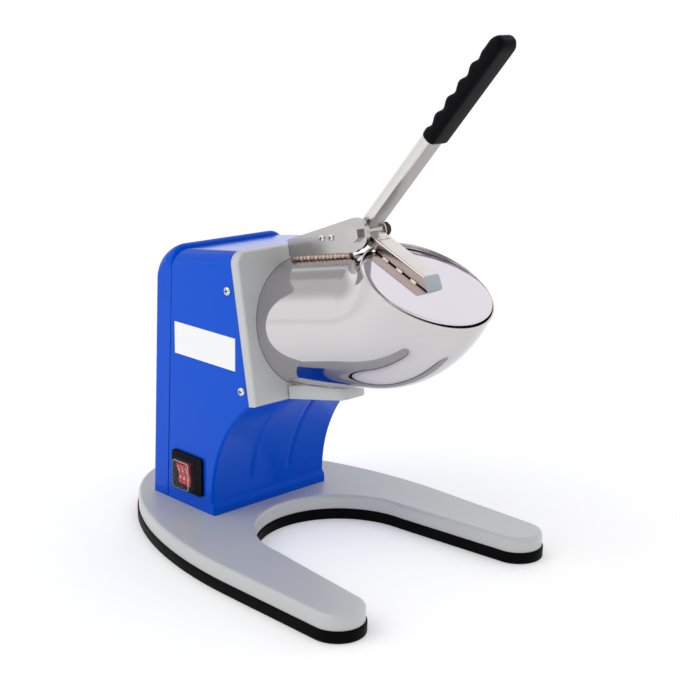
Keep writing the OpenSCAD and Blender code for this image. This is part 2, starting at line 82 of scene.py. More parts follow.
ROCKER_TILT = 10.0
ROCKER_R = 20


def rad(a):
    return math.radians(a)


def span(a, b, n):
    """n even steps from a to b, both included."""
    return [a + (b - a) * i / (n - 1) for i in range(n)]


def tilted(s, y, h):
    """The point s along the drum's axis, y across it and h above it, from the bolt."""
    c, d = math.cos(TILT), math.sin(TILT)
    return (PIVOT[0] + s * c - h * d, y, PIVOT[1] + s * d + h * c)


def lever(angle, x, y, z):
    """The point x along a bar raised by angle, y across it and z above it, from the bolt."""
    c, d = math.cos(rad(angle)), math.sin(rad(angle))
    return (PIVOT[0] + x * c - z * d, y, PIVOT[1] + x * d + z * c)


# ---------- camera ----------
CAMERA_PLACE = (0.90324, -0.85754, 0.52471)  # metres
CAMERA_YAW, CAMERA_PITCH, CAMERA_ROLL = 135.38, -14.65, 1.02
CAMERA_LENS = 73.00112
CAMERA_SENSOR = 36


def add_camera():
    yaw, pitch, roll = rad(CAMERA_YAW), rad(CAMERA_PITCH), rad(CAMERA_ROLL)
    fwd = Vector((math.cos(pitch) * math.cos(yaw), math.cos(pitch) * math.sin(yaw), math.sin(pitch)))
    right = Vector((math.sin(yaw), -math.cos(yaw), 0))
    up = right.cross(fwd)
    c, d = math.cos(roll), math.sin(roll)
    right, up = c * right + d * up, c * up - d * right
    data = bpy.data.cameras.new("camera")
    data.sensor_width = CAMERA_SENSOR
    data.lens = CAMERA_LENS
    data.clip_end = 50
    data.dof.use_dof = False
    cam = bpy.data.objects.new("camera", data)
    bpy.context.scene.collection.objects.link(cam)
    cam.matrix_world = Matrix((
        (right.x, up.x, -fwd.x, CAMERA_PLACE[0]),
        (right.y, up.y, -fwd.y, CAMERA_PLACE[1]),
        (right.z, up.z, -fwd.z, CAMERA_PLACE[2]),
        (0, 0, 0, 1),
    ))
    bpy.context.scene.camera = cam
    bpy.context.scene.view_settings.view_transform = "Standard"


add_camera()


# ---------- materials ----------
MIX_A, MIX_B, MIX_RESULT = 6, 7, 2  # the colour sockets of a Mix node


def new_material(name, color, rough, metal=0.0, grain=None, bump=None, tint=0.0, tint_scale=6.0,
                 rough_var=0.0, spec=0.5, ior=1.5, alpha=1.0, spec_tint=None):
    """A Principled material with object-space noise in its colour, roughness and bump.

    tint and rough_var say how far colour and roughness stray, and tint_scale the noise for both.
    bump is (scale, height in metres); grain stretches all the noise by (x, y, z)."""
    m = bpy.data.materials.new(name)
    m.use_nodes = True
    nt = m.node_tree
    b = nt.nodes["Principled BSDF"]
    b.inputs["Base Color"].default_value = (*color, 1)
    b.inputs["Roughness"].default_value = rough
    b.inputs["Metallic"].default_value = metal
    b.inputs["Specular IOR Level"].default_value = spec
    b.inputs["IOR"].default_value = ior
    b.inputs["Alpha"].default_value = alpha
    if spec_tint:
        b.inputs["Specular Tint"].default_value = (*spec_tint, 1)
    coords = nt.nodes.new("ShaderNodeTexCoord")
    stretch = nt.nodes.new("ShaderNodeMapping")
    if grain:
        stretch.inputs["Scale"].default_value = grain
    nt.links.new(coords.outputs["Object"], stretch.inputs["Vector"])
    if tint or rough_var:
        n = nt.nodes.new("ShaderNodeTexNoise")
        n.inputs["Scale"].default_value = tint_scale
        n.inputs["Detail"].default_value = 5
        nt.links.new(stretch.outputs["Vector"], n.inputs["Vector"])
        if tint:
            mix = nt.nodes.new("ShaderNodeMix")
            mix.data_type = "RGBA"
            mix.inputs[MIX_A].default_value = (*[max(0, c * (1 - tint)) for c in color], 1)
            mix.inputs[MIX_B].default_value = (*[min(1, c * (1 + tint)) for c in color], 1)
            nt.links.new(n.outputs["Fac"], mix.inputs[0])
            nt.links.new(mix.outputs[MIX_RESULT], b.inputs["Base Color"])
        if rough_var:
            r = nt.nodes.new("ShaderNodeMapRange")
            r.inputs["To Min"].default_value = max(0, rough - rough_var)
            r.inputs["To Max"].default_value = min(1, rough + rough_var)
            nt.links.new(n.outputs["Fac"], r.inputs["Value"])
            nt.links.new(r.outputs["Result"], b.inputs["Roughness"])
    if bump:
        n2 = nt.nodes.new("ShaderNodeTexNoise")
        n2.inputs["Scale"].default_value = bump[0]
        n2.inputs["Detail"].default_value = 3
        nt.links.new(stretch.outputs["Vector"], n2.inputs["Vector"])
        bp = nt.nodes.new("ShaderNodeBump")
        bp.inputs["Strength"].default_value = 1.0
        bp.inputs["Distance"].default_value = bump[1]
        nt.links.new(n2.outputs["Fac"], bp.inputs["Height"])
        nt.links.new(bp.outputs["Normal"], b.inputs["Normal"])
    return m


MATS = {
    "blue_paint": new_material("blue_enamel", (0.0, 0.076, 0.60), 0.16, ior=1.4,
                               spec_tint=(0.02, 0.25, 1.0), tint=0.02, rough_var=0.03, tint_scale=9,
                               bump=(420, 0.000008)),
    "grey_paint": new_material("grey_paint", (0.535, 0.545, 0.55), 0.34, metal=0.1, spec=0.4,
                               tint=0.03, rough_var=0.06, tint_scale=14, bump=(900, 0.00002)),
    "edge_rubber": new_material("edge_rubber", (0.002, 0.002, 0.0025), 0.5, spec=0.04, tint=0.25,
                                rough_var=0.1, tint_scale=40, bump=(500, 0.00003)),
    "seal_rubber": new_material("seal_rubber", (0.012, 0.012, 0.012), 0.5, tint=0.2, bump=(600, 0.00002)),
    "grip_rubber": new_material("grip_rubber", (0.002, 0.002, 0.003), 0.42, spec=0.06, tint=0.25,
                                rough_var=0.06, tint_scale=60, bump=(900, 0.00003)),
    "polished_steel": new_material("polished_steel", (0.60, 0.575, 0.585), 0.05, metal=1, tint=0.02,
                                   rough_var=0.02, tint_scale=18, bump=(25, 0.00002)),
    "brushed_plate": new_material("brushed_plate", (0.68, 0.66, 0.64), 0.2, metal=1, tint=0.05,
                                  rough_var=0.08, tint_scale=80, bump=(300, 0.000012)),
    "blade_steel": new_material("blade_steel", (0.66, 0.66, 0.67), 0.2, metal=1, tint=0.05, rough_var=0.06,
                                tint_scale=60, bump=(500, 0.000008), grain=(1, 6, 1)),
    "screw_steel": new_material("screw_steel", (0.72, 0.71, 0.70), 0.2, metal=1, tint=0.06, rough_var=0.08,
                                tint_scale=120, bump=(700, 0.00001)),
    "weld_metal": new_material("weld_metal", (0.46, 0.36, 0.31), 0.4, metal=1, tint=0.3, rough_var=0.12,
                               tint_scale=300, bump=(450, 0.0003)),
    "dark_nut": new_material("dark_nut", (0.03, 0.03, 0.034), 0.35, metal=1, tint=0.2, rough_var=0.1,
                             tint_scale=150, bump=(700, 0.00002)),
    "cast_aluminium": new_material("cast_aluminium", (0.55, 0.56, 0.57), 0.45, metal=1, tint=0.08,
                                   rough_var=0.08, tint_scale=50, bump=(350, 0.00012)),
    "stator_iron": new_material("stator_iron", (0.12, 0.125, 0.13), 0.5, metal=1, tint=0.2, rough_var=0.1,
                                tint_scale=70, bump=(700, 0.00006), grain=(8, 1, 1)),
    "copper_wire": new_material("copper_wire", (0.50, 0.17, 0.06), 0.35, metal=1, tint=0.25, rough_var=0.1,
                                tint_scale=200, bump=(600, 0.0002)),
    "black_plastic": new_material("black_plastic", (0.002, 0.002, 0.003), 0.3, spec=0.05, tint=0.2,
                                  rough_var=0.06, tint_scale=50, bump=(900, 0.00001)),
    "grey_plastic": new_material("grey_plastic", (0.42, 0.48, 0.54), 0.4, tint=0.08, rough_var=0.06,
                                 tint_scale=90, bump=(700, 0.00002)),
    "white_plastic": new_material("white_plastic", (0.75, 0.75, 0.72), 0.4, tint=0.03, rough_var=0.06,
                                  tint_scale=40, bump=(700, 0.00002)),
    "red_plastic": new_material("red_plastic", (0.50, 0.006, 0.010), 0.18, tint=0.06, rough_var=0.04,
                                tint_scale=60, bump=(500, 0.000008)),
    "white_label": new_material("white_label", (0.88, 0.89, 0.90), 0.35, tint=0.015, rough_var=0.05,
                                tint_scale=30, bump=(500, 0.000008)),
    "clear_silicone": new_material("clear_silicone", (0.3, 0.3, 0.33), 0.12, tint=0.02, rough_var=0.05,
                                   tint_scale=50, bump=(300, 0.00002), alpha=0.09),
}
# Places whose tone differs from the rest of their slot
PLATE_STEEL = new_material("plate_steel", (0.67, 0.63, 0.69), 0.07, metal=1, tint=0.02, rough_var=0.02,
                           tint_scale=18, bump=(25, 0.00002))
BRACKET_STEEL = new_material("bracket_steel", (0.50, 0.485, 0.48), 0.22, metal=1, tint=0.05, rough_var=0.08,
                             tint_scale=80, bump=(300, 0.000012))
ARM_STEEL = new_material("arm_steel", (0.66, 0.62, 0.60), 0.24, metal=1, tint=0.05, rough_var=0.08,
                         tint_scale=80, bump=(300, 0.000012))
# Painted shade and reflection: a darker brown copy of the arm's steel for its flat sides
ARM_SIDE_SHADE = new_material("arm_side_painted_shade", (0.32, 0.265, 0.23), 0.26, metal=1, tint=0.12, rough_var=0.08,
                            tint_scale=60, bump=(300, 0.000012))
# Painted shade: a darker, rougher copy of the handle's steel for its underside
HANDLE_UNDER_SHADE = new_material("handle_under_painted_shade", (0.40, 0.375, 0.37), 0.3, metal=1, tint=0.08, rough_var=0.08,
                           tint_scale=80, bump=(300, 0.000012))
# Painted shade: near-black for the arm's underside, where shade falls
ARM_UNDER_SHADE = new_material("arm_under_painted_shade", (0.012, 0.010, 0.009), 0.6, spec=0.1, tint=0.3, rough_var=0.1,
                         tint_scale=90, bump=(500, 0.00002))
BEAD_STEEL = new_material("bead_steel", (0.72, 0.66, 0.60), 0.26, metal=1, tint=0.25, rough_var=0.12,
                          tint_scale=300, bump=(450, 0.0002))
BOLT_STEEL = new_material("bolt_steel", (0.54, 0.505, 0.48), 0.24, metal=1, tint=0.08, rough_var=0.08,
                          tint_scale=90, bump=(500, 0.000012))
# Painted highlight: a whiter, less clear silicone for the boot's rounded rim
BOOT_RIM_HIGHLIGHT = new_material("boot_rim_painted_highlight", (0.9, 0.9, 0.9), 0.15, tint=0.02, rough_var=0.05, tint_scale=50,
                          bump=(300, 0.00002), alpha=0.42)
NODE_LOOK = {"lever_bracket": BRACKET_STEEL, "pivot_bolt": BOLT_STEEL, "pivot_sleeve": BOLT_STEEL,
             "pivot_washers": BOLT_STEEL}
SLOTS = {p["node"]: p["material_slot"] for p in frame["record"]["subparts"]}
for node, obj in frame["nodes"].items():
    obj.data.materials.clear()
    obj.data.materials.append(NODE_LOOK.get(node, MATS[SLOTS[node]]))


BEVEL_SEGMENTS = 3
BEVEL_ANGLE = 32


def bevel_node(node, width):
    """Rounds a CAD node's sharp edges without touching its own mesh."""
    obj = frame["nodes"][node]
    mod = obj.modifiers.new("edge", "BEVEL")
    mod.width = width * MM
    mod.segments = BEVEL_SEGMENTS
    mod.limit_method = "ANGLE"
    mod.angle_limit = rad(BEVEL_ANGLE)
    mod.use_clamp_overlap = True
    mod.harden_normals = True


# ---------- mesh building ----------
def make(name, verts, faces, slot, body, stands_for=(), smooth=38, weld=True, material=None):
    """A piece on a body; edges sharper than the angle in smooth stay sharp, or none if it is None."""
    mesh = bpy.data.meshes.new(name)
    mesh.from_pydata([(x * MM, y * MM, z * MM) for x, y, z in verts], [], faces)
    bm = bmesh.new()
    bm.from_mesh(mesh)
    if weld:
        bmesh.ops.remove_doubles(bm, verts=bm.verts, dist=0.00001)
    bmesh.ops.recalc_face_normals(bm, faces=bm.faces)
    bm.to_mesh(mesh)
    bm.free()
    for p in mesh.polygons:
        p.use_smooth = True
    if smooth is not None:
        mesh.set_sharp_from_angle(angle=rad(smooth))
    mesh.materials.append(material or MATS[slot])
    obj = bpy.data.objects.new(name, mesh)
    bpy.context.scene.collection.objects.link(obj)
    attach(obj, body)
    if stands_for:
        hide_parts(*stands_for)
    return obj


def keep_flat(obj):
    """Lets the large flat faces keep their own shading up to their rounded edges."""
    for poly in obj.data.polygons:
        if abs(poly.normal.y) > 0.9999:
            poly.use_smooth = False
    mod = obj.modifiers.new("flat_faces", "WEIGHTED_NORMAL")
    mod.keep_sharp = True
    mod.weight = 90


class Build:
    """Collects vertices and faces, in millimetres."""

    def __init__(self):
        self.v = []
        self.f = []

    def loops(self, loops, closed=True, ends=(None, None), wrap=False):
        """Skins between loops of equal length. ends is (first, last) caps."""
        base = len(self.v)
        n = len(loops[0])
        for loop in loops:
            self.v.extend(loop)
        rows = len(loops)
        for i in range(rows if wrap else rows - 1):
            j = (i + 1) % rows
            for k in range(n if closed else n - 1):
                m = (k + 1) % n
                self.f.append((base + i * n + k, base + i * n + m, base + j * n + m, base + j * n + k))
        for which, row in ((0, 0), (1, rows - 1)):
            if ends[which]:
                self.f.append(tuple(base + row * n + k for k in range(n)))
        return self

    def grid(self, rows, skip=None, wrap=False):
        """Skins between rows, leaving out the cells for which skip(row, column) is true."""
        base = len(self.v)
        n = len(rows[0])
        for row in rows:
            self.v.extend(row)
        for i in range(len(rows) - 1):
            for k in range(n if wrap else n - 1):
                m = (k + 1) % n
                if skip and skip(i, k):
                    continue
                after = base + (i + 1) * n
                self.f.append((base + i * n + k, base + i * n + m, after + m, after + k))
        return self

    def face(self, points):
        base = len(self.v)
        self.v.extend(points)
        self.f.append(tuple(range(base, base + len(points))))
        return self

    def done(self, name, slot, body, stands_for=(), **kw):
        return make(name, self.v, self.f, slot, body, stands_for, **kw)


def rounded_rect(w, h, r, n=6):
    """Loop of (a, b) around a w by h rectangle's centre."""
    out = []
    for cx, cy, a0 in ((w / 2 - r, h / 2 - r, 0), (-w / 2 + r, h / 2 - r, 90),
                       (-w / 2 + r, -h / 2 + r, 180), (w / 2 - r, -h / 2 + r, 270)):
        for a in span(a0, a0 + 90, n):
            out.append((cx + r * math.cos(rad(a)), cy + r * math.sin(rad(a))))
    return out


# ---------- base ----------
def base_loop(e, z):
    """The fork's outline at height z, drawn in by e."""
    def arc(x, y, rx, ry, angles):
        return [(x + rx * math.cos(rad(a)), y + ry * math.sin(rad(a)), z) for a in angles]

    def tip(side):
        return arc(GAP_X + TIP_X, side * TIP_Y, TIP_R - e, TIP_R - e, span(-90, 90, 41))

    back = arc(GAP_X, 0, BASE_REACH - e, BASE_HALF - e, span(90, 270, 121))
    gap = arc(GAP_X, 0, GAP_R + e, GAP_R + e, span(270, 90, 91))
    return back + tip(-1) + gap + tip(1)


def build_base():
    """Rows are (drawn in, height): first the casting's section, then the rubber edge's."""
    b = Build()
    round_r = 3.6
    skin, inside, crown, ceiling = 1.4, 6.5, 5.6, 19
    rows = [(inside, ceiling), (inside, 5), (skin, 5), (skin, 12), (skin, BASE_TOP - round_r)]
    rows += [(skin + round_r * (1 - math.cos(rad(a))), BASE_TOP - round_r + round_r * math.sin(rad(a)))
             for a in span(12, 90, 8)]
    rows += [(crown, BASE_TOP)]
    b.loops([base_loop(e, z) for e, z in rows])
    b.face(base_loop(crown, BASE_TOP))
    b.face(base_loop(inside, ceiling))
    b.done("base_body", "grey_paint", "machine", ["base_casting"], weld=False, smooth=50)
    b = Build()
    rows = [(8.4, 0), (0.9, 0), (0.25, 0.35), (0, 1.1), (0, 5), (-0.15, 8.2), (0, 10), (0.4, 10.8), (1.0, 11),
            (1.6, 10.9), (1.6, 5.2), (6.4, 5.2), (6.4, 8), (8.4, 8)]
    b.loops([base_loop(e, z) for e, z in rows], wrap=True)
    b.done("base_edge", "edge_rubber", "machine", ["base_rubber_edge"], smooth=45)


build_base()


# ---------- housing ----------
def front_profile():
    """Foot and hollow front as (x, z, normal x, normal z)."""
    pts = [(FRONT, BASE_TOP, 1, 0), (FRONT, 29.0, 1, 0), (FRONT, 32.0, 1, 0)]
    hollow_x, hollow_z, hollow_r = 72.5, 38, 134
    for t in span(0.15, 1, 5):
        s = t * t * (3 - 2 * t)
        turn = rad(20 * math.sin(math.pi * t))
        pts.append((FRONT - 3.5 * s, 32 + 6 * t, math.cos(turn), math.sin(turn)))
    for a in span(0.8, 53.9, 90):
        c, d = math.cos(rad(a)), math.sin(rad(a))
        pts.append((hollow_x - hollow_r * c, hollow_z + hollow_r * d, c, -d))
    return pts


GROOVE_LINE = ((22.5, 137), (24.6, 124), (26.0, 104), (25.6, 78), (25.0, 54))
GROOVES = [[(k * y, z) for y, z in GROOVE_LINE] for k in (-1, 1)]
GROOVE_DEPTH = 1.5
GROOVE_WIDTH = 2.1
GROOVE_SPAN = (45, 150)  # heights beyond which no groove reaches


def groove_depth(y, z):
    """How deep the two pressed grooves are at (y, z) of the hollow front."""
    if not GROOVE_SPAN[0] < z < GROOVE_SPAN[1]:
        return 0
    best = 99.0
    for line in GROOVES:
        for (y0, z0), (y1, z1) in zip(line, line[1:]):
            dy, dz = y1 - y0, z1 - z0
            t = max(0, min(1, ((y - y0) * dy + (z - z0) * dz) / (dy * dy + dz * dz)))
            best = min(best, math.hypot(y - y0 - t * dy, z - z0 - t * dz))
    return GROOVE_DEPTH * math.exp(-((best / GROOVE_WIDTH) ** 2))


def plane_x(z):
    """x of the plane behind the front casting at height z."""
    c, d = math.cos(TILT), math.sin(TILT)
    h = (z - PIVOT[1] + CAST_BACK * d) / c
    return PIVOT[0] - CAST_BACK * c - h * d


def top_z(x):
    """Height of the housing's top at x."""
    return SEAM_TOP + (x - SEAM) * TOP_SLOPE


def seam_at(z):
    """x of the seam between the housing and its rear cover at height z."""
    return SEAM - (SEAM_TOP - z) * SEAM_LEAN


def back_x(z):
    """x of the back wall at height z."""
    return BACK_FOOT + (z - 25) * BACK_LEAN


def build_shell():
    b = Build()
    edge = 2.6
    prof = front_profile()
    corner = [(-HW + edge * (1 - math.cos(rad(t))), 1 - math.sin(rad(t))) for t in span(0, 90, 7)]
    ys = corner + [(y, 0.0) for y in span(-HW + edge + 1, HW - edge - 1, 110)]
    ys += [(-y, k) for y, k in reversed(corner)]
    rows = []
    for x, z, nx, nz in prof:
        row = []
        for y, k in ys:
            dep = groove_depth(y, z)
            row.append((x - nx * (edge * k + dep), y, z - nz * (edge * k + dep)))
        rows.append(row)
    b.grid(rows)
    # Top with its round corners, from the seam to the plane behind the casting
    gap = SEAM_GAP
    x0 = SEAM + gap
    length = 84.6
    slope = math.atan(TOP_SLOPE)
    rear_r, front_r = 19, 12
    along = [(0.0, 3.0), (0.0, 0.8), (0.006, 0.25), (0.014, 0.0)] + [(u, 0.0) for u in span(0.03, 1, 24)]

    def top_row(theta, y_in=None):
        """One line from seam to casting; both lean, so x and z are found by turns."""
        row = []
        for t, drop in along:
            x = x0 + t * length
            for _ in range(4):
                r = rear_r - (rear_r - front_r) * t
                z = top_z(x) - (r * (1 - math.sin(rad(theta))) + drop) / math.cos(slope)
                x = seam_at(z) + gap + t * (plane_x(z) - seam_at(z) - gap)
            if y_in is None:
                y = HW - drop * math.cos(rad(theta)) - r * (1 - math.cos(rad(theta)))
            else:
                y = y_in * (HW - r)
            row.append((x, y, z))
        return row

    rows = [top_row(t) for t in span(0, 90, 14)] + [top_row(90, y) for y in (0.6, 0.2)]
    half = rows + [[(x, -y, z) for x, y, z in r] for r in reversed(rows)]
    b.grid(half)
    edge_line = rows[0][3:]
    for side in (1, -1):
        sx = [(x, side * HW, z) for x, _, z in edge_line]
        down = [(plane_x(z), side * HW, z) for z in span(edge_line[-1][2] - 5, 152, 8)]
        front = [(x - nx * edge, side * HW, z - nz * edge) for x, z, nx, nz in reversed(prof)]
        low = edge_line[0][2]
        inset = edge_line[0][0] - seam_at(low)
        rear = [(seam_at(z) + inset, side * HW, z) for z in (BASE_TOP, 100.0, 180.0)]
        b.face(sx + down + front + rear)
        rows = []
        for z in (BASE_TOP, 100.0, 180.0, low):
            x = seam_at(z)
            rows.append([(x + gap, side * (HW - 3.0), z), (x + gap, side * (HW - 0.8), z),
                         (x + gap + 0.5, side * (HW - 0.25), z), (x + inset, side * HW, z)])
        b.grid(rows)
    rear_x = seam_at(BASE_TOP) + gap
    b.face([(FRONT, -HW + edge, BASE_TOP), (rear_x, -HW + 3, BASE_TOP), (rear_x, HW - 3, BASE_TOP),
            (FRONT, HW - edge, BASE_TOP)])
    keep_flat(b.done("housing", "blue_paint", "machine", ["housing_shell"], smooth=30))


def build_cover():
    b = Build()
    x1 = SEAM - SEAM_GAP
    cx, cz, r0 = -111.0, 246.5, 34.0
    arc_start = 111
    squareness = 0.833
    top_r, back_r = 20, 4
    lip_line = ((0, 272.0), (0, 274.6), (0.5, 276.4), (1.6, 277.8), (3.4, 278.7))
    slot_count, slot_low, slot_pitch, slot_h, slot_half, slot_deep = 9, 152, 8.5, 4, 30.0, 2.5
    # The profile is (x, z, normal x, normal z, corner radius): lip, round top, back wall
    prof = [(x1 - dx, z, 1, 0, top_r) for dx, z in lip_line]
    lip = len(prof)
    for a in span(arc_start, 180, 26):
        c, d = math.cos(rad(a)), math.sin(rad(a))
        done = (a - arc_start) / (180 - arc_start)
        prof.append((cx - r0 * abs(c) ** squareness, cz + r0 * abs(d) ** squareness, c, d,
                     top_r - (top_r - back_r) * done ** 1.2))
    slots = [slot_low + i * slot_pitch for i in range(slot_count)]
    levels = [240, 232] + [z for low in reversed(slots) for z in (low + slot_h, low)]
    levels += [140, 118, 95, 70, 45, 25]
    prof += [(back_x(z), z, -1, 0.045, back_r) for z in levels]
    first = len(prof) - len(levels)
    rows = []
    for x, z, nx, nz, r in prof:
        row = []
        for t in span(0, 90, 12):
            row.append((x - nx * r * (1 - math.sin(rad(t))), HW - r * (1 - math.cos(rad(t))),
                        z - nz * r * (1 - math.sin(rad(t)))))
        row += [(x, 0.66 * (HW - r), z), (x, slot_half, z), (x, 0.0, z)]
        row += [(px, -y, pz) for px, y, pz in reversed(row[:-1])]
        rows.append(row)
    # Roll the first rows' corners around the section instead of along the profile
    for i in range(lip):
        x, z = prof[i][0], prof[i][1]
        for k, t in enumerate(span(0, 90, 12)):
            y = HW - top_r * (1 - math.cos(rad(t)))
            zz = z - top_r * (1 - math.sin(rad(t)))
            rows[i][k] = (x, y, zz)
            rows[i][-1 - k] = (x, -y, zz)
    # The next rows pass from the one way to the other
    passing = 8
    for i in range(lip, lip + passing):
        blend = (lip + passing - i) / passing
        x, z, nx, nz, r = prof[i]
        for k, t in enumerate(span(0, 90, 12)):
            w = 1 - math.sin(rad(t))
            bx = x - nx * r * w * (1 - blend)
            y = HW - r * (1 - math.cos(rad(t)))
            zz = z - r * w * (nz * (1 - blend) + blend)
            rows[i][k] = (bx, y, zz)
            rows[i][-1 - k] = (bx, -y, zz)
    # The air slots are left out of the skin: the two columns across the middle, between their levels
    cut = [first + 2 + 2 * i for i in range(slot_count)]
    b.grid(rows, skip=lambda i, k: i in cut and k in (13, 14))
    for low in slots:
        ring = [(slot_half, low), (slot_half, low + slot_h), (-slot_half, low + slot_h), (-slot_half, low)]
        b.loops([[(back_x(z) + deep, y, z) for y, z in ring] for deep in (0.0, slot_deep)])
    for side in (1, -1):
        k = 0 if side == 1 else -1
        outer = [(row[k][0], side * HW, row[k][2]) for row in rows[1:]]
        b.face(outer + [(seam_at(BASE_TOP) - SEAM_GAP, side * HW, BASE_TOP)])
        b.grid([[(seam_at(z) - SEAM_GAP, side * HW, z), (seam_at(z) - 0.15, side * (HW - 0.8), z),
                 (seam_at(z) - 0.15, side * (HW - 3), z)] for z in (BASE_TOP, 120.0, 252.0)])
    keep_flat(b.done("cover", "blue_paint", "machine", ["rear_cover"], smooth=30))


build_shell()
build_cover()


# ---------- hopper ----------
def drum_ring(r, s, n):
    """n points around the drum's axis, at s along it."""
    return [tilted(s, r * math.cos(rad(a)), -DROP + r * math.sin(rad(a))) for a in span(0, 360, n + 1)[:-1]]


def build_hopper():
    """The drum and its elbow, with the slot for the arm on top and the snow's opening below."""
    arm = math.degrees(math.asin(13 / DRUM_R))
    snow = math.degrees(math.asin(22 / DRUM_R))
    angles = []
    edges = [90 + arm, 270 - snow, 270 + snow, 90 - arm + 360, 90 + arm + 360]
    side_n, snow_n, arm_n = 56, 20, 12
    counts = [side_n, snow_n, side_n, arm_n]
    arm_from = -9
    for a0, a1, n in zip(edges, edges[1:], counts):
        angles += [a0 + (a1 - a0) * i / n for i in range(n)]
    n = len(angles)
    top_band = range(n - arm_n, n)
    snow_band = range(side_n, side_n + snow_n)
    s_rows = [-99.5] + span(-94, -48, 16) + span(-40, arm_from, 8) + [-4.5, -0.001]
    first_slot = s_rows.index(arm_from)
    b = Build()
    for r in (DRUM_R, DRUM_R - DRUM_WALL):
        rows = []
        for s in s_rows:
            rows.append([tilted(s, r * math.cos(rad(a)), -DROP + r * math.sin(rad(a))) for a in angles])
        for bend in span(0, DRUM_BEND, 40)[1:]:
            c, d = math.cos(rad(bend)), math.sin(rad(bend))
            row = []
            for a in angles:
                y, h = r * math.cos(rad(a)), -DROP + r * math.sin(rad(a))
                row.append(tilted(-h * d, y, h * c))
            rows.append(row)

        def skip(i, k):
            if k in snow_band and 1 <= i < 16:
                return True
            return k in top_band and i >= first_slot

        b.grid(rows, skip=skip, wrap=True)
    return b


hop = build_hopper()


def mouth_point(r, a, s):
    """The point at radius r and angle a of the mouth, s ahead of its plane."""
    c, d = math.cos(rad(DRUM_BEND)), math.sin(rad(DRUM_BEND))
    y, h = r * math.cos(rad(a)), -DROP + r * math.sin(rad(a))
    return tilted(s * c - h * d, y, h * c + s * d)


RIM_SECTION = ((59.5, -2.2), (59.5, 0.0), (59.65, 0.25), (60.0, 0.4), (60.5, 0.4), (60.85, 0.25), (61.0, 0.0),
               (61.0, -1.6))
RIM_OPEN = 12.4  # half the angle that the arm's slot takes from the rim
hop.loops([[mouth_point(r, a, s) for a in span(90 + RIM_OPEN, 450 - RIM_OPEN, 150)] for r, s in RIM_SECTION],
          closed=False)
hop.loops([drum_ring(r, s, 96) for r, s in ((59.5, -98.5), (50, -98.5), (50, CAST_SEAT), (60.9, CAST_SEAT))])
hop.done("hopper_steel", "polished_steel", "machine", ["hopper"], smooth=35)


# ---------- front casting ----------
def flange_steps(e):
    """The flange's outline as (y, h), drawn in by e."""
    w, r = 73.3 - e, 12 - e
    top, bottom = -5 - e, -147 + e
    steps = [(w, h) for h in span(bottom, top - r, 14)]
    steps += [(w - r + r * math.cos(rad(a)), top - r + r * math.sin(rad(a))) for a in span(6, 84, 12)]
    steps += [(y, top) for y in span(w - r, -(w - r), 21)]
    steps += [(-(w - r) + r * math.cos(rad(a)), top - r + r * math.sin(rad(a))) for a in span(96, 174, 12)]
    steps += [(-w, h) for h in span(top - r, bottom, 14)]
    steps += [(y, bottom) for y in span(-w + 4, w - 4, 20)]
    return steps


def build_casting():
    """The flange, with the hole that the drum sits in."""
    b = Build()
    round_r = 2.4
    rows = [(0, -107.3), (0, CAST_FACE - round_r)]
    rows += [(round_r * (1 - math.cos(rad(a))), CAST_FACE - round_r + round_r * math.sin(rad(a)))
             for a in span(15, 90, 6)]
    b.loops([[tilted(s, y, h) for y, h in flange_steps(e)] for e, s in rows])
    steps = flange_steps(round_r)
    face = [tilted(CAST_FACE, y, h) for y, h in steps]
    turns = [math.atan2(h + DROP, y) for y, h in steps]
    hole, deep = [[tilted(s, CAST_HOLE_R * math.cos(a), -DROP + CAST_HOLE_R * math.sin(a)) for a in turns]
                  for s in (CAST_FACE, CAST_SEAT)]
    b.loops([face, hole, deep])
    return b


casting = build_casting()


def drum_under(y):
    """Height of the drum's underside, with a little to spare, at y across it."""
    return -DROP - math.sqrt(max(0, 61.2 ** 2 - y * y))


def build_chute(b):
    """The snow spout: a wall that follows a U-shaped path, from the drum down to a rounded lip."""
    back, nose, front_r = -96.5, -44.0, 7.0
    y_root, y_nose = 31.4, 14.0
    straight = [(back, y_root), (nose - front_r, y_nose + 1.6)]
    left = [(straight[0][0] + (straight[1][0] - straight[0][0]) * t,
             straight[0][1] + (straight[1][1] - straight[0][1]) * t) for t in span(0, 1, 12)]
    corner = [(nose - front_r + front_r * math.sin(rad(a)) * 0.92,
               y_nose + 1.6 - front_r * (1 - math.cos(rad(a)))) for a in span(12, 90, 8)]
    half = left + corner
    path = half + [(half[-1][0], 0.0)] + [(s, -y) for s, y in reversed(half)]
    t = 1.6
    rows = []
    n = len(path)
    for i, (s, y) in enumerate(path):
        s0, y0 = path[max(0, i - 1)]
        s1, y1 = path[min(n - 1, i + 1)]
        dx, dy = s1 - s0, y1 - y0
        length = math.hypot(dx, dy)
        nx, ny = dy / length, -dx / length
        depth = (s - back) / (nose - back)
        low = -147 - 3.6 * depth
        profile = [(-t, -2.5), (-t + 0.5, -0.6), (-t + 1.2, 0), (t - 1.2, 0), (t - 0.4, -0.5), (t, -1.6)]
        row = []
        for off, dz in profile:
            yy = y + ny * off
            ss = s + nx * off
            top = min(-134.5, drum_under(yy) - 0.15)
            row.append(tilted(ss, yy, top + dz))
        for off, dz in ((t, 1.4), (t - 0.4, 0.4), (t - 1.2, 0), (-t + 1.2, 0), (-t + 0.4, 0.4), (-t, 1.4)):
            yy = y + ny * off
            ss = s + nx * off
            row.append(tilted(ss, yy, low + dz))
        rows.append(row)
    b.grid(rows, wrap=True)


build_chute(casting)
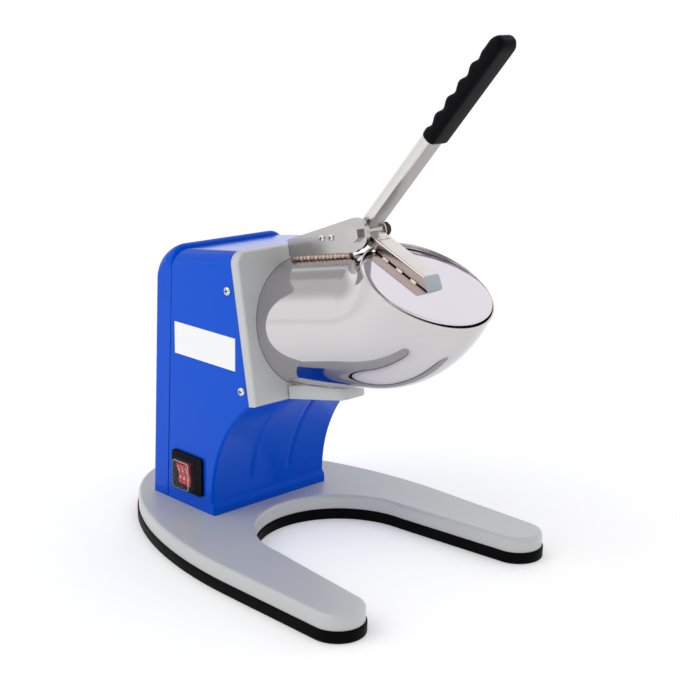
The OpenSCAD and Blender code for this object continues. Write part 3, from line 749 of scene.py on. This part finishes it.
# Boss and spigot behind the flange
for r_out, r_in, s0, s1 in ((57, 46, -125, -106), (24, 13, -121, -106)):
    corners = ((r_in, s1), (r_out, s1), (r_out, s0), (r_in, s0))
    casting.loops([drum_ring(r, s, 72) for r, s in corners], wrap=True)
casting.loops([drum_ring(r, s, 72) for r, s in ((CAST_HOLE_R, CAST_SEAT), (13, CAST_SEAT), (13, -CAST_BACK),
                                                (72, -CAST_BACK))])
casting.done("casting", "grey_paint", "machine", ["front_casting"], smooth=32)


# ---------- lever ----------
def tube_piece(name, angle, x_start, x_end, z_low, nodes, r=2.2, material=None, hidden_from=None):
    """A rectangular tube. x_start and x_end are functions of (y, z) in the bar's frame."""
    b = Build()
    zc = z_low + TUBE_H / 2
    outer = rounded_rect(TUBE_W, TUBE_H, r, 5)
    inner = rounded_rect(TUBE_W - 2 * TUBE_WALL, TUBE_H - 2 * TUBE_WALL, max(0.4, r - TUBE_WALL), 5)
    loops = []
    for t in (0.0, 0.5, 1.0):
        loops.append([lever(angle, x_start(y, z + zc) * (1 - t) + x_end(y, z + zc) * t, y, z + zc)
                      for y, z in outer])
    if hidden_from:
        # The part inside the grip is drawn smaller, so that it stays under the grip's hollows
        core = [(y * 0.9, z * 0.66 - 1.2) for y, z in outer]
        loops[1:] = [[lever(angle, hidden_from, y, z + zc) for y, z in outer],
                     [lever(angle, hidden_from + 1, y, z + zc) for y, z in core],
                     [lever(angle, x_end(y, z + zc), y, z + zc) for y, z in core]]
        b.loops(loops, ends=(True, True))
        return b.done(name, "brushed_plate", "lever", nodes, smooth=32, material=material)
    for back in (0, 20):
        loops.append([lever(angle, x_end(y, z + zc) - back, y, z + zc) for y, z in inner])
    b.loops(loops, ends=(True, False))
    return b.done(name, "brushed_plate", "lever", nodes, smooth=32, material=material)


def cut_by_arm(y, z):
    """Where a line along the handle, at height z over the pivot, meets the arm's upper face."""
    turn = rad(HANDLE_ANGLE - ARM_ANGLE)
    return (ARM_TOP - z * math.cos(turn)) / math.sin(turn)


handle = tube_piece("handle_tube", HANDLE_ANGLE, cut_by_arm, lambda y, z: 200.0, -1.3, ["handle_bar"],
                    hidden_from=114.5)
arm = tube_piece("arm_tube", ARM_ANGLE, lambda y, z: -9.0, lambda y, z: ARM_END + (ARM_TOP - z), ARM_LOW,
                 ["pusher_arm"], r=1.5, material=ARM_STEEL)
# Painted shade: darker brown sides and a black underside for the arm, a darker, duller underside for the
# handle
arm.data.materials.append(ARM_SIDE_SHADE)
arm.data.materials.append(ARM_UNDER_SHADE)
under = Vector((math.sin(rad(ARM_ANGLE)), 0, -math.cos(rad(ARM_ANGLE))))
for poly in arm.data.polygons:
    if abs(poly.normal.y) > 0.97:
        poly.material_index = 1
    elif poly.normal.dot(under) > 0.2:
        poly.material_index = 2
handle.data.materials.append(HANDLE_UNDER_SHADE)
down = Vector((math.sin(rad(HANDLE_ANGLE)), 0, -math.cos(rad(HANDLE_ANGLE))))
for poly in handle.data.polygons:
    if poly.normal.dot(down) > 0.9:
        poly.material_index = 1

cap = Build()
sec = [(y, z - 1.6) for y, z in rounded_rect(19.4, 9.4, 2.0, 5)]
cap.loops([[lever(ARM_ANGLE, ARM_END + ARM_TOP - z - 1.5, y, z) for y, z in sec],
           [lever(ARM_ANGLE, ARM_END + ARM_TOP - z + 0.25, y, z) for y, z in sec],
           [lever(ARM_ANGLE, ARM_END + ARM_TOP - z * 0.93 + 0.6, y * 0.93, z * 0.93 - 0.1) for y, z in sec]],
          ends=(True, True))
cap.done("arm_cap", "grey_plastic", "lever", ["arm_end_cap"], smooth=40)


def build_grip():
    """The grip: its upper side waves for the fingers, its near end is cut and its far end is round."""
    b = Build()
    loops = []
    start, end, nose = 113.6, 225.0, 9
    wave_mean, wave_half, wave_crest, wave_pitch = 8.8, 1.5, 190.5, 18.3
    far_flat, near_flat = 198, 124
    cut_length, cut_r = 2.5, 1.2
    xs = [start, start + 0.3, start + 1.2] + span(start + cut_length, end - nose, 90)
    xs += [end - nose + nose * math.sin(rad(a)) for a in span(8, 88, 12)]
    for x in xs:
        wave = wave_mean + wave_half * math.cos((x - wave_crest) / wave_pitch * 2 * math.pi)
        if x > far_flat:
            k = min(1, (x - far_flat) / 10)
            wave = wave * (1 - k) + 9.0 * k
        if x < near_flat:
            k = min(1, (near_flat - x) / 8)
            wave = wave * (1 - k) + 9.4 * k
        low, wide = -4.9, 24.6
        if x < start + cut_length:
            t = (x - start) / cut_length
            cut = cut_r * (1 - math.sqrt(max(0, 1 - (1 - t) ** 2)))
            wave, low, wide = wave - cut, low + cut, wide - 2 * cut
        if x > end - nose:
            t = math.sqrt(max(0.0, 1 - ((x - end + nose) / nose) ** 2))
            mid = (wave + low) / 2
            half = (wave - low) / 2
            wave, low = mid + half * (0.25 + 0.75 * t), mid - half * (0.25 + 0.75 * t)
            wide = wide * (0.55 + 0.45 * t)
        h = wave - low
        r = min(5.2, h / 2 - 0.4)
        zc = (wave + low) / 2
        loops.append([lever(HANDLE_ANGLE, x, y, z + zc) for y, z in rounded_rect(wide, h, r, 8)])
    b.loops(loops, ends=(True, True))
    b.done("grip", "grip_rubber", "lever", ["handle_grip"], smooth=60)


build_grip()

PLATE_SECTION = ((0.5, -6.6), (20, -6.6), (52, -6.6), (57.8, -6.6), (58.5, -6.85), (58.8, -7.6),
                 (58.7, -9.6), (58.4, -10.2), (57.9, -10.1), (57.3, -9.0), (56.4, -8.6), (52, -8.6),
                 (20, -8.6), (0.5, -8.6))
PLATE_X = 78.2
plate = Build()
loops = []
for r, z in PLATE_SECTION:
    loops.append([lever(ARM_ANGLE, PLATE_X + r * math.cos(rad(a)), r * math.sin(rad(a)), z)
                  for a in span(0, 360, 121)[:-1]])
plate.loops(loops, ends=(True, True))
plate.done("press_plate", "polished_steel", "lever", ["pusher_plate"], smooth=40, material=PLATE_STEEL)


# ---------- welds ----------
def bead(b, path, r, up, lumps=1.6, seed=0.0):
    """A weld bead along a list of points: a half-buried rope of small lumps."""
    loops = []
    n = len(path)
    for i, p in enumerate(path):
        p0 = Vector(path[max(0, i - 1)])
        p1 = Vector(path[min(n - 1, i + 1)])
        along = (p1 - p0).normalized()
        side = along.cross(Vector(up)).normalized()
        top = side.cross(along).normalized()
        t = i / (n - 1)
        fade = math.sqrt(max(0.02, 1 - (2 * t - 1) ** 6))
        k = r * fade * (1 + 0.14 * math.sin(i * lumps + seed) + 0.08 * math.sin(i * 0.61 + seed * 2.3))
        loops.append([tuple(Vector(p) + side * (k * math.cos(rad(a))) + top * (k * 0.8 * math.sin(rad(a))))
                      for a in range(0, 360, 30)])
    b.loops(loops, ends=(True, True))


WELD_BACK, WELD_FRONT = -88.5, -10.5
w = Build()
for y, out in ((-17.9, -1), (-13.1, 1)):
    bead(w, [tilted(s, y, -18.4) for s in span(WELD_BACK, WELD_FRONT, 90)], 2.5, (0, out, 1),
         lumps=1.1, seed=y)
w.loops([[tilted(s, y, h) for y, h in ((-17.6, -16.5), (-13.4, -16.5), (-13.4, -20.4), (-17.6, -20.4))]
         for s in (WELD_BACK, WELD_FRONT)], ends=(True, True))
w.done("drum_weld", "weld_metal", "machine", ["bracket_weld"], smooth=70)
w = Build()
for x in (31, 49, 67):
    for side in (-1, 1):
        bead(w, [lever(ARM_ANGLE, x + t, side * 10.4, -6.2) for t in span(0, 8, 18)], 1.7, (0, side, 1),
             seed=x * side)
bead(w, [lever(ARM_ANGLE, 17.5, y, 3.8) for y in span(-9, 9, 26)], 1.3, (1, 0, 1), seed=4)
w.done("arm_welds", "weld_metal", "lever", ["lever_welds"], smooth=70, material=BEAD_STEEL)


# ---------- screws ----------
def pan_head(b, place, r, h):
    """place(x, y, z) puts a point given with z out of the head."""
    loops = []
    for k, z in ((1.0, 0.0), (1.0, 0.25), (0.97, 0.5), (0.88, 0.75), (0.72, 0.9), (0.5, 0.98), (0.25, 1.0)):
        loops.append([place(r * k * math.cos(rad(a)), r * k * math.sin(rad(a)), h * z)
                      for a in range(0, 360, 15)])
    b.loops(loops, ends=(True, True))


def cross_recess_shade(b, place, r, h, turn):
    """A dark cross just over a head, turned by turn: painted shade that stands for the cross recess, which is
    not cut.
    """
    for a in (turn, turn + 90):
        c, d = math.cos(rad(a)), math.sin(rad(a))
        lng, wid = r * 0.55, r * 0.13
        pts = [(-lng, -wid), (lng, -wid), (lng, wid), (-lng, wid)]
        b.face([place(x * c - y * d, x * d + y * c, h * 1.03) for x, y in pts])


def screw_set(name, nodes, places, r, h, shank):
    """Pan-head screws of head radius r and height h; shank is (radius, length)."""
    b = Build()
    marks = Build()
    for i, place in enumerate(places):
        pan_head(b, place, r, h)
        b.loops([[place(shank[0] * math.cos(rad(a)), shank[0] * math.sin(rad(a)), -z)
                  for a in range(0, 360, 20)] for z in (0.01, shank[1])], ends=(True, True))
        # The dark crosses are painted shade for the heads' recesses
        cross_recess_shade(marks, place, r, h, 15 + 37 * i)
    b.done(name, "screw_steel", "machine", nodes, smooth=35)
    marks.done(name + "_painted_slot_shade", "dark_nut", "machine", (), smooth=None)


def side_place(x, z, side):
    return lambda a, b, c: (x + a, side * (HW + c), z + b)


def back_place(y, z):
    return lambda a, b, c: (back_x(z) - c, y + a, z + b)


def bracket_place(s):
    return lambda a, b, c: tilted(s + a, -17.5 - c, -1.8 + b)


screw_set("side_screws", ["housing_side_screws"],
          [side_place(FRONT + back, z, s) for back, z in ((21, 249.7), (40.6, 159)) for s in (-1, 1)],
          4.2, 2.6, shank=(2, 8))


screw_set("back_screws", ["rear_cover_screws"],
          [back_place(y, z) for z in (95, 215) for y in (-60, 60)], 3.8, 2.5, shank=(2, 30))
screw_set("switch_screws_head", ["safety_switch_screws"],
          [bracket_place(s) for s in (-43, -31.2)], 3.3, 1.9, shank=(1.5, 12))

for node, width in (("lever_bracket", 0.5), ("pivot_bolt", 0.6), ("pivot_nut", 0.4), ("pivot_washers", 0.25),
                    ("pivot_sleeve", 0.3), ("safety_switch", 0.5), ("blade_disc", 0.4), ("disc_nut", 0.5),
                    ("switch_housing", 0.8), ("switch_rocker", 0.7), ("run_capacitor", 1.2)):
    bevel_node(node, width)


# ---------- switch boot ----------
rx, rz = FRONT - 41.7, 57.3


def boot_loop(width, height, r, out):
    """A rounded rectangle around the switch, out from the boot's foot."""
    return [(rx + a, -HW - BOOT_FOOT - out, rz + c) for a, c in rounded_rect(width, height, r, 6)]


boot = Build()
boot.loops([boot_loop(*row) for row in ((26, 29.4, 3.2, 0), (26, 29.4, 3.2, 3.0), (25.6, 29, 3.4, 4.4),
                                        (24.6, 28, 3.6, 5.3), (22.5, 26, 3.8, 5.7))], ends=(False, True))
boot.done("clear_boot", "clear_silicone", "machine", ["switch_boot"], smooth=50)
# The boot's rounded rim, drawn whiter and less clear as a painted highlight
edge = Build()
edge.loops([boot_loop(width, height, 3.4, out) for width, height, out in (
    (24.9, 28.3, 5.3), (24.4, 27.8, 5.7), (23.7, 27.1, 5.8), (23.7, 27.1, 5.6))])
edge.done("boot_rim_highlight_ring", "clear_silicone", "machine", smooth=60, material=BOOT_RIM_HIGHLIGHT)


# Two rows of white marks on the rocker
marks = Build()
turn = rad(ROCKER_TILT)
for mx in (-6.8, -0.8, 5.2):
    for mz in (-5.6, 5.2):
        box = []
        for lift in (0.2, -0.12):
            for a, c in ((-0.7, -2.9), (0.7, -2.9), (0.7, 2.9), (-0.7, 2.9)):
                z = mz + c
                y = max(-4.6, -23.5 + math.sqrt(ROCKER_R ** 2 - z * z)) + lift
                box.append((rx + mx + a, -HW + y * math.cos(turn) - z * math.sin(turn),
                            rz + y * math.sin(turn) + z * math.cos(turn)))
        marks.loops([box[:4], box[4:]], ends=(True, True))
marks.done("rocker_marks", "white_label", "rocker", smooth=None)


# ---------- stage and light ----------
def stage():
    """A white floor that glows a little, so that it comes out as white as the photograph's ground."""
    data = bpy.data.meshes.new("floor")
    s = 60  # metres
    data.from_pydata([(-s, -s, 0), (s, -s, 0), (s, s, 0), (-s, s, 0)], [], [(0, 1, 2, 3)])
    floor = bpy.data.objects.new("floor", data)
    floor.location.z = -0.0002
    bpy.context.scene.collection.objects.link(floor)
    m = bpy.data.materials.new("floor_white")
    m.use_nodes = True
    nt = m.node_tree
    p = nt.nodes["Principled BSDF"]
    p.inputs["Roughness"].default_value = 0.9
    p.inputs["Specular IOR Level"].default_value = 0.2
    p.inputs["Base Color"].default_value = (0.93, 0.93, 0.93, 1)
    p.inputs["Emission Color"].default_value = (1, 1, 1, 1)
    p.inputs["Emission Strength"].default_value = 0.19
    data.materials.append(m)


# Darker places of the dome: (direction, dot product where one begins, where it is full, brightness there)
WORLD_STRENGTH = 1.12
WORLD_ZONES = [
    ((0.74, -0.60, 0.30), 0.80, 0.95, 0.35),
    ((0, 0, 1), 0.80, 0.95, 0.6),
    ((1.0, 0.35, 0.15), 0.85, 0.95, 0.5),
    ((-0.86, -0.10, 0.50), 0.88, 0.98, 0.62),
    ((-0.84, 0.06, 0.54), 0.985, 0.998, 0.7),
    ((-0.80, 0.48, 0.36), 0.955, 0.985, 0.35),
]


def world_light():
    """A white studio: one bright dome with a few darker places, WORLD_ZONES."""
    world = bpy.data.worlds.new("studio")
    world.use_nodes = True
    nt = world.node_tree
    bg = nt.nodes["Background"]
    coords = nt.nodes.new("ShaderNodeTexCoord")
    value = None
    for direction, outer, inner, level in WORLD_ZONES:
        dot = nt.nodes.new("ShaderNodeVectorMath")
        dot.operation = "DOT_PRODUCT"
        d = Vector(direction).normalized()
        dot.inputs[1].default_value = tuple(d)
        nt.links.new(coords.outputs["Generated"], dot.inputs[0])
        ramp = nt.nodes.new("ShaderNodeMapRange")
        ramp.interpolation_type = "SMOOTHSTEP"
        ramp.inputs["From Min"].default_value = outer
        ramp.inputs["From Max"].default_value = inner
        ramp.inputs["To Min"].default_value = 1.0
        ramp.inputs["To Max"].default_value = level
        nt.links.new(dot.outputs["Value"], ramp.inputs["Value"])
        if value is None:
            value = ramp.outputs["Result"]
        else:
            mul = nt.nodes.new("ShaderNodeMath")
            mul.operation = "MULTIPLY"
            nt.links.new(value, mul.inputs[0])
            nt.links.new(ramp.outputs["Result"], mul.inputs[1])
            value = mul.outputs[0]
    scale = nt.nodes.new("ShaderNodeMath")
    scale.operation = "MULTIPLY"
    scale.inputs[1].default_value = WORLD_STRENGTH
    nt.links.new(value, scale.inputs[0])
    nt.links.new(scale.outputs[0], bg.inputs["Strength"])
    bg.inputs["Color"].default_value = (0.99, 0.99, 0.995, 1)
    bpy.context.scene.world = world


def area(name, place, target, size, power):
    data = bpy.data.lights.new(name, "AREA")
    data.shape = "RECTANGLE"
    data.size, data.size_y = size
    data.energy = power
    obj = bpy.data.objects.new(name, data)
    obj.location = place
    obj.rotation_euler = (Vector(target) - Vector(place)).to_track_quat("-Z", "Y").to_euler()
    bpy.context.scene.collection.objects.link(obj)


stage()
world_light()
area("key", (-0.6, -1.5, 1.6), (0, 0, 0.2), (1.2, 1.2), 5)
